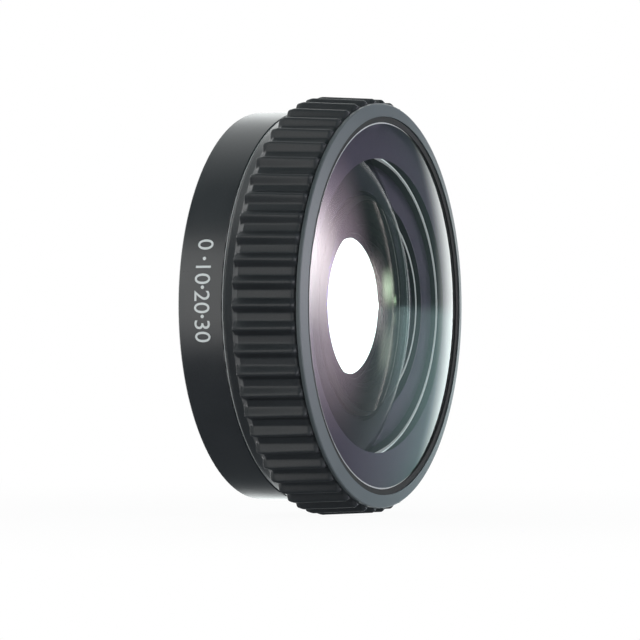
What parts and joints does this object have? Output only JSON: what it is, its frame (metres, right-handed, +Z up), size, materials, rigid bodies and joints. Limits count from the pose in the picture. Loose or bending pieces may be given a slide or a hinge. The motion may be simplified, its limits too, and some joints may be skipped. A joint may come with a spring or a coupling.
{
  "type": "wide-angle conversion lens",
  "caption": "Wide-angle conversion lens for a small action camera: coated domed front glass in a black barrel with a ribbed grip ring that turns a bayonet lock at the rear.",
  "frame": {"origin": "centre of the rear mouth, in the plane of the rear face", "axes": "+Y along the lens axis towards the camera, so the front glass looks along -Y; +Z up"},
  "size_m": [0.0402, 0.0154, 0.0402],
  "materials": {
    "barrel_black": "satin",
    "grip_black": "satin",
    "bezel_black": "satin",
    "cell_black": "matte",
    "bright_aluminium": "satin",
    "screw_steel": "satin",
    "collar_brass": "satin",
    "slide_plastic": "matte",
    "seal_rubber": "matte",
    "front_glass": "coated",
    "inner_glass": "coated"
  },
  "bodies": {
    "housing": {"rear_barrel": "barrel_black", "rear_plate": "barrel_black", "casing_screws": "screw_steel", "slide_washer": "slide_plastic", "detent_ball": "screw_steel", "detent_spring": "screw_steel", "disc_spring": "screw_steel", "front_bezel": "bezel_black", "front_element": "front_glass", "front_gasket": "seal_rubber", "cell_shim": "collar_brass", "optical_cell": "cell_black", "port_gasket": "seal_rubber", "locating_pins": "screw_steel", "baffle_ring": "cell_black", "middle_element": "inner_glass", "middle_retainer": "cell_black", "doublet_front": "inner_glass", "doublet_rear": "inner_glass", "rear_retaining_ring": "cell_black"},
    "grip": {"grip_ring": "grip_black", "lock_sleeve": "bright_aluminium", "drive_collars": "collar_brass", "drive_screws": "screw_steel"}
  },
  "joints": [
    {"name": "lock_turn", "type": "hinge", "parent": "housing", "child": "grip", "pos_m": [0, 0, 0], "axis": [0, 1, 0], "range_deg": [0, 45]}
  ]
}
